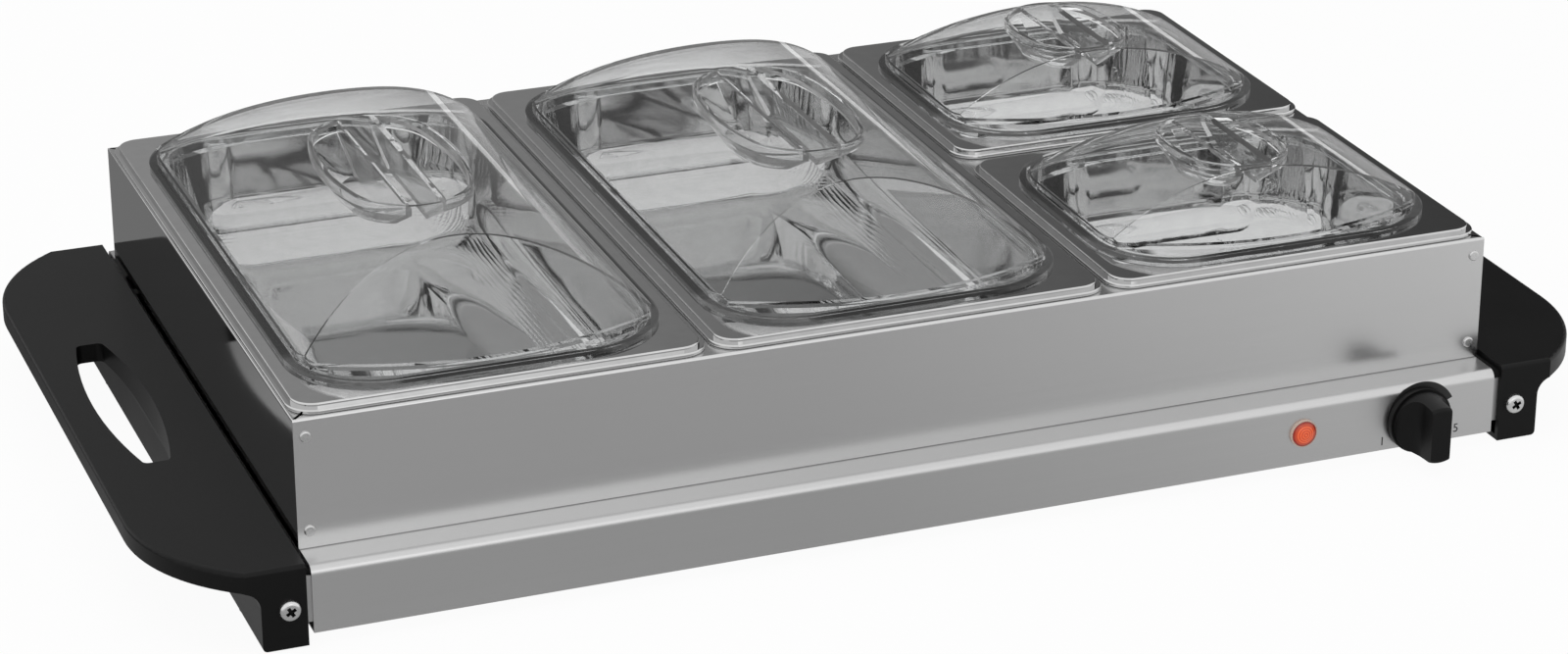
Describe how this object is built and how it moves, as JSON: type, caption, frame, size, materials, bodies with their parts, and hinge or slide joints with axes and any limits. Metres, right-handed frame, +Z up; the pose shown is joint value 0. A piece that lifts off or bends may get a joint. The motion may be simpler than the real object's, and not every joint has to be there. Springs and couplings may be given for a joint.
{
  "type": "buffet warmer",
  "caption": "Heated buffet base with carrying handles, a lift-off steel frame, drop-in food pans under clear domed lids, and a heat control knob with a lamp.",
  "frame": {"origin": "on the floor under the middle of the whole object's outline", "axes": "+X along the long side to the knob end, +Y to the back, +Z up"},
  "size_m": [0.672, 0.3962, 0.1347],
  "materials": {
    "brushed_steel": "satin stainless sheet brushed along its length",
    "polished_steel": "bright polished stainless sheet",
    "galvanised_sheet": "plain zinc-coated sheet",
    "zinc_fasteners": "bright zinc plate",
    "black_plastic": "matte fine-grained moulding",
    "black_rubber": "dull rubber",
    "aluminium_plate": "mill finish",
    "element_sheath": "heat-darkened steel sheath",
    "pale_moulding": "pale moulded insulator",
    "brass": "turned brass",
    "lamp_bezel": "pale moulded ring",
    "lamp_lens": "translucent orange-red lens",
    "fuse_sleeve": "glazed sleeve",
    "wire_sleeve": "woven heat-proof sleeve",
    "clear_plastic": "clear polished moulding"
  },
  "bodies": {
    "base": {"top_cover": "brushed_steel", "bottom_plate": "galvanised_sheet", "bottom_plate_screws": "zinc_fasteners", "left_end_bracket": "galvanised_sheet", "right_end_bracket": "galvanised_sheet", "left_handle": "black_plastic", "right_handle": "black_plastic", "handle_screws": "zinc_fasteners", "rubber_feet": "black_rubber", "heat_spreader": "aluminium_plate", "heating_element": "element_sheath", "element_clamps": "galvanised_sheet", "heat_shield": "galvanised_sheet", "thermostat_body": "pale_moulding", "thermostat_nut": "zinc_fasteners", "lamp_bezel": "lamp_bezel", "lamp_lens": "lamp_lens", "lamp_body": "pale_moulding", "cord_inlet": "black_rubber", "terminal_block": "pale_moulding", "thermal_fuse": "fuse_sleeve", "lead_wires": "wire_sleeve"},
    "pan_frame": {"frame_front": "brushed_steel", "frame_back": "brushed_steel", "frame_left": "brushed_steel", "frame_right": "brushed_steel", "left_divider": "brushed_steel", "right_divider": "brushed_steel", "small_pan_divider": "brushed_steel", "frame_rivets": "zinc_fasteners"},
    "knob": {"control_knob": "black_plastic", "thermostat_shaft": "brass"},
    "large_pan_left_body": {"large_pan_left": "polished_steel"},
    "large_lid_left_body": {"large_lid_left": "clear_plastic"},
    "large_pan_middle_body": {"large_pan_middle": "polished_steel"},
    "large_lid_middle_body": {"large_lid_middle": "clear_plastic"},
    "small_pan_back_body": {"small_pan_back": "polished_steel"},
    "small_lid_back_body": {"small_lid_back": "clear_plastic"},
    "small_pan_front_body": {"small_pan_front": "polished_steel"},
    "small_lid_front_body": {"small_lid_front": "clear_plastic"}
  },
  "joints": [
    {"name": "pan_frame_lift", "type": "slide", "parent": "base", "child": "pan_frame", "axis": [0, 0, 1], "range_m": [0, 0.12]},
    {"name": "knob_turn", "type": "hinge", "parent": "base", "child": "knob", "pos_m": [0.235, -0.1759, 0.019], "axis": [0, 1, 0], "range_deg": [-120, 120]},
    {"name": "large_pan_left_lift", "type": "slide", "parent": "pan_frame", "child": "large_pan_left_body", "axis": [0, 0, 1], "range_m": [0, 0.15]},
    {"name": "large_lid_left_lift", "type": "slide", "parent": "large_pan_left_body", "child": "large_lid_left_body", "axis": [0, 0, 1], "range_m": [0, 0.12]},
    {"name": "large_pan_middle_lift", "type": "slide", "parent": "pan_frame", "child": "large_pan_middle_body", "axis": [0, 0, 1], "range_m": [0, 0.15]},
    {"name": "large_lid_middle_lift", "type": "slide", "parent": "large_pan_middle_body", "child": "large_lid_middle_body", "axis": [0, 0, 1], "range_m": [0, 0.12]},
    {"name": "small_pan_back_lift", "type": "slide", "parent": "pan_frame", "child": "small_pan_back_body", "axis": [0, 0, 1], "range_m": [0, 0.15]},
    {"name": "small_lid_back_lift", "type": "slide", "parent": "small_pan_back_body", "child": "small_lid_back_body", "axis": [0, 0, 1], "range_m": [0, 0.12]},
    {"name": "small_pan_front_lift", "type": "slide", "parent": "pan_frame", "child": "small_pan_front_body", "axis": [0, 0, 1], "range_m": [0, 0.15]},
    {"name": "small_lid_front_lift", "type": "slide", "parent": "small_pan_front_body", "child": "small_lid_front_body", "axis": [0, 0, 1], "range_m": [0, 0.12]}
  ]
}
